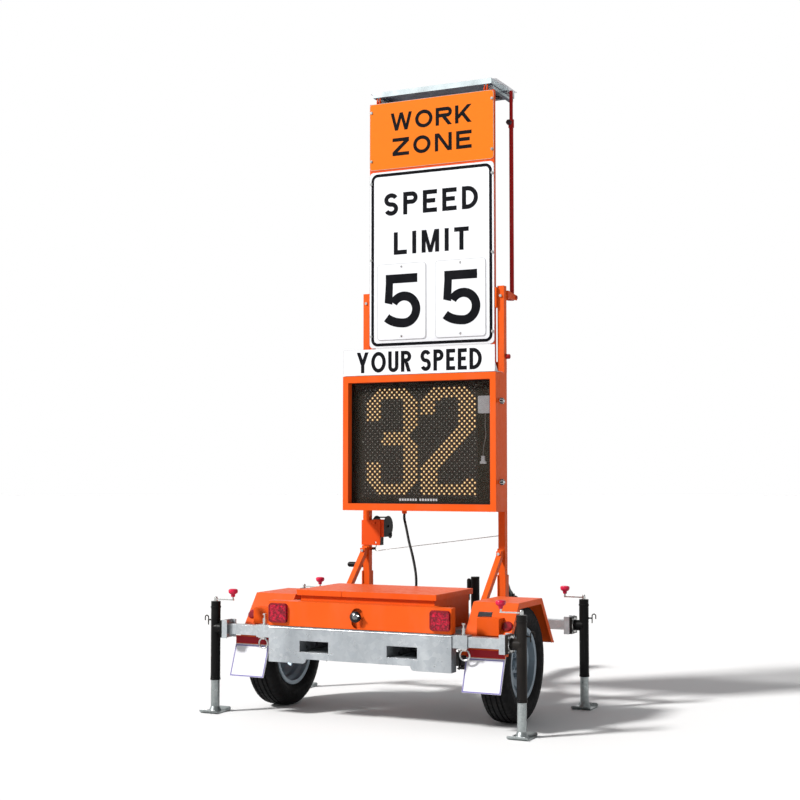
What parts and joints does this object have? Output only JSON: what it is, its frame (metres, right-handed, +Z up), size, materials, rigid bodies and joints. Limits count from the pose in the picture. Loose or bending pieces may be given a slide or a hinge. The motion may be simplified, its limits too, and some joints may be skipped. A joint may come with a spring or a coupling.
{
  "type": "solar speed sign trailer",
  "caption": "Towed radar speed display with a sliding sign mast, tilting solar panel, battery box, hand winch and swivel-jack outriggers.",
  "frame": {"origin": "centre of the whole part's footprint box, on the ground", "axes": "+Z up, +Y towards the tow coupling, -Y the face of the signs, +X to the right seen from the signs' side"},
  "size_m": [1.836, 2.25, 3.418],
  "materials": {
    "galvanised": "bright zinc plated",
    "orange_paint": "gloss powder coat",
    "red_orange_paint": "gloss powder coat",
    "black_paint": "satin black",
    "dark_steel": "satin dark",
    "sign_orange": "retroreflective sheeting",
    "sign_white": "retroreflective sheeting",
    "maroon_paint": "gloss",
    "red_lens": "moulded lens",
    "flap_rubber": "white moulded",
    "tyre_rubber": "matte",
    "rim_paint": "silver paint",
    "zinc_bolt": "zinc plated",
    "window": "tinted sheet",
    "board": "matte",
    "battery_case": "matte",
    "electronics": "matte",
    "radar_white": "smooth",
    "rope_steel": "galvanised wire",
    "cable_rubber": "matte jacket",
    "panel_alu": "anodised",
    "crank_zinc": "zinc plated with a red knob"
  },
  "bodies": {
    "trailer": {"chassis_frame": "galvanised", "rear_bumper": "galvanised", "axle_assembly": "dark_steel", "coupler_body": "black_paint", "tongue_jack_tube": "black_paint", "battery_box": "red_orange_paint", "batteries": "battery_case", "charge_controller": "electronics", "locks": "dark_steel", "lamp_panel": "orange_paint", "tail_lamps": "red_lens", "fender_left": "orange_paint", "fender_right": "orange_paint", "mud_flaps": "flap_rubber", "mast_posts": "orange_paint", "mast_bolts": "zinc_bolt", "collar_hardware": "zinc_bolt", "your_speed_plate": "sign_white", "led_cabinet": "orange_paint", "led_board": "board", "radar_unit": "radar_white", "winch_frame": "orange_paint", "wire_rope": "rope_steel", "power_cable": "cable_rubber"},
    "latch": {"coupler_latch": "dark_steel"},
    "tongue_leg": {"tongue_jack_leg": "galvanised"},
    "tongue_crank": {"tongue_jack_crank": "dark_steel"},
    "lid": {"battery_lid": "red_orange_paint"},
    "wheel_left": {"rim_left": "rim_paint", "tyre_left": "tyre_rubber"},
    "wheel_right": {"rim_right": "rim_paint", "tyre_right": "tyre_rubber"},
    "sign": {"sign_frame": "red_orange_paint", "work_zone_plate": "sign_orange", "speed_limit_plate": "sign_white", "digit_plates": "sign_white", "sign_bolts": "zinc_bolt"},
    "panel": {"solar_panel": "panel_alu"},
    "strut_tube": {"strut_outer": "maroon_paint"},
    "strut_rod": {"strut_inner": "maroon_paint"},
    "door": {"led_door": "orange_paint", "door_window": "window"},
    "drum": {"winch_drum": "dark_steel"},
    "winch_handle": {"winch_crank": "black_paint"},
    "outrigger_rear_left": {"arm_rear_left": "galvanised"},
    "jack_body_rear_left": {"jack_rear_left": "black_paint"},
    "leg_body_rear_left": {"leg_rear_left": "galvanised"},
    "crank_body_rear_left": {"crank_rear_left": "crank_zinc"},
    "outrigger_rear_right": {"arm_rear_right": "galvanised"},
    "jack_body_rear_right": {"jack_rear_right": "black_paint"},
    "leg_body_rear_right": {"leg_rear_right": "galvanised"},
    "crank_body_rear_right": {"crank_rear_right": "crank_zinc"},
    "outrigger_front_left": {"arm_front_left": "galvanised"},
    "jack_body_front_left": {"jack_front_left": "black_paint"},
    "leg_body_front_left": {"leg_front_left": "galvanised"},
    "crank_body_front_left": {"crank_front_left": "crank_zinc"},
    "outrigger_front_right": {"arm_front_right": "galvanised"},
    "jack_body_front_right": {"jack_front_right": "black_paint"},
    "leg_body_front_right": {"leg_front_right": "galvanised"},
    "crank_body_front_right": {"crank_front_right": "crank_zinc"}
  },
  "joints": [
    {"name": "wheel_left_spin", "type": "hinge", "parent": "trailer", "child": "wheel_left", "pos_m": [-0.655, -0.67, 0.29], "axis": [1, 0, 0], "continuous": true},
    {"name": "wheel_right_spin", "type": "hinge", "parent": "trailer", "child": "wheel_right", "pos_m": [0.655, -0.67, 0.29], "axis": [1, 0, 0], "continuous": true},
    {"name": "lid_open", "type": "hinge", "parent": "trailer", "child": "lid", "pos_m": [0, -0.536, 0.632], "axis": [-1, 0, 0], "range_deg": [0, 55]},
    {"name": "mast_lift", "type": "slide", "parent": "trailer", "child": "sign", "axis": [0, 0, 1], "range_m": [-0.74, 0]},
    {"name": "winch_drum_turn", "type": "hinge", "parent": "trailer", "child": "drum", "pos_m": [-0.34, -0.125, 0.94], "axis": [1, 0, 0], "range_deg": [-1420, 0]},
    {"name": "winch_crank_turn", "type": "hinge", "parent": "trailer", "child": "winch_handle", "pos_m": [-0.46, -0.098, 0.893], "axis": [1, 0, 0], "range_deg": [0, 5680]},
    {"name": "panel_tilt", "type": "hinge", "parent": "sign", "child": "panel", "pos_m": [0, -0.187, 3.384], "axis": [1, 0, 0], "range_deg": [0, 25]},
    {"name": "strut_swing", "type": "hinge", "parent": "sign", "child": "strut_tube", "pos_m": [0.414, -0.02, 2.215], "axis": [1, 0, 0], "range_deg": [0, 0.6]},
    {"name": "strut_extend", "type": "slide", "parent": "strut_tube", "child": "strut_rod", "axis": [0, 0, 1], "range_m": [0, 0.08]},
    {"name": "door_open", "type": "hinge", "parent": "trailer", "child": "door", "pos_m": [-0.4645, -0.325, 1.4], "axis": [0, 0, -1], "range_deg": [0, 105]},
    {"name": "latch_lift", "type": "hinge", "parent": "trailer", "child": "latch", "pos_m": [0, 1.027, 0.468], "axis": [-1, 0, 0], "range_deg": [0, 60]},
    {"name": "tongue_leg_lift", "type": "slide", "parent": "trailer", "child": "tongue_leg", "axis": [0, 0, 1], "range_m": [0, 0.15]},
    {"name": "tongue_crank_turn", "type": "hinge", "parent": "trailer", "child": "tongue_crank", "pos_m": [0.033, 0.26, 0.56], "axis": [1, 0, 0], "range_deg": [0, 5460]},
    {"name": "arm_rear_left_pull", "type": "slide", "parent": "trailer", "child": "outrigger_rear_left", "axis": [-1, 0, 0], "range_m": [0, 0.2]},
    {"name": "jack_rear_left_swing", "type": "hinge", "parent": "outrigger_rear_left", "child": "jack_body_rear_left", "pos_m": [-0.79, -1.05, 0.434], "axis": [1, 0, 0], "range_deg": [0, 90]},
    {"name": "leg_rear_left_lift", "type": "slide", "parent": "jack_body_rear_left", "child": "leg_body_rear_left", "axis": [0, 0, 1], "range_m": [0, 0.13]},
    {"name": "crank_rear_left_turn", "type": "hinge", "parent": "jack_body_rear_left", "child": "crank_body_rear_left", "pos_m": [-0.85, -1.05, 0.58], "axis": [0, 0, 1], "range_deg": [0, 4720]},
    {"name": "arm_rear_right_pull", "type": "slide", "parent": "trailer", "child": "outrigger_rear_right", "axis": [1, 0, 0], "range_m": [0, 0.2]},
    {"name": "jack_rear_right_swing", "type": "hinge", "parent": "outrigger_rear_right", "child": "jack_body_rear_right", "pos_m": [0.79, -1.05, 0.434], "axis": [1, 0, 0], "range_deg": [0, 90]},
    {"name": "leg_rear_right_lift", "type": "slide", "parent": "jack_body_rear_right", "child": "leg_body_rear_right", "axis": [0, 0, 1], "range_m": [0, 0.13]},
    {"name": "crank_rear_right_turn", "type": "hinge", "parent": "jack_body_rear_right", "child": "crank_body_rear_right", "pos_m": [0.85, -1.05, 0.58], "axis": [0, 0, 1], "range_deg": [0, 4720]},
    {"name": "arm_front_left_pull", "type": "slide", "parent": "trailer", "child": "outrigger_front_left", "axis": [-1, 0, 0], "range_m": [0, 0.2]},
    {"name": "jack_front_left_swing", "type": "hinge", "parent": "outrigger_front_left", "child": "jack_body_front_left", "pos_m": [-0.79, -0.115, 0.434], "axis": [-1, 0, 0], "range_deg": [0, 90]},
    {"name": "leg_front_left_lift", "type": "slide", "parent": "jack_body_front_left", "child": "leg_body_front_left", "axis": [0, 0, 1], "range_m": [0, 0.13]},
    {"name": "crank_front_left_turn", "type": "hinge", "parent": "jack_body_front_left", "child": "crank_body_front_left", "pos_m": [-0.85, -0.115, 0.58], "axis": [0, 0, 1], "range_deg": [0, 4720]},
    {"name": "arm_front_right_pull", "type": "slide", "parent": "trailer", "child": "outrigger_front_right", "axis": [1, 0, 0], "range_m": [0, 0.2]},
    {"name": "jack_front_right_swing", "type": "hinge", "parent": "outrigger_front_right", "child": "jack_body_front_right", "pos_m": [0.79, -0.115, 0.434], "axis": [-1, 0, 0], "range_deg": [0, 90]},
    {"name": "leg_front_right_lift", "type": "slide", "parent": "jack_body_front_right", "child": "leg_body_front_right", "axis": [0, 0, 1], "range_m": [0, 0.13]},
    {"name": "crank_front_right_turn", "type": "hinge", "parent": "jack_body_front_right", "child": "crank_body_front_right", "pos_m": [0.85, -0.115, 0.58], "axis": [0, 0, 1], "range_deg": [0, 4720]}
  ],
  "couplings": [
    {"joint": "winch_drum_turn", "follows": "mast_lift", "rad_per_m": 32.8},
    {"joint": "winch_crank_turn", "follows": "mast_lift", "rad_per_m": -131.2},
    {"joint": "strut_swing", "follows": "panel_tilt", "ratio": 0.01812},
    {"joint": "strut_extend", "follows": "panel_tilt", "m_per_rad": 0.16479},
    {"joint": "tongue_crank_turn", "follows": "tongue_leg_lift", "rad_per_m": 628.32},
    {"joint": "crank_rear_left_turn", "follows": "leg_rear_left_lift", "rad_per_m": 628.32},
    {"joint": "crank_rear_right_turn", "follows": "leg_rear_right_lift", "rad_per_m": 628.32},
    {"joint": "crank_front_left_turn", "follows": "leg_front_left_lift", "rad_per_m": 628.32},
    {"joint": "crank_front_right_turn", "follows": "leg_front_right_lift", "rad_per_m": 628.32}
  ]
}
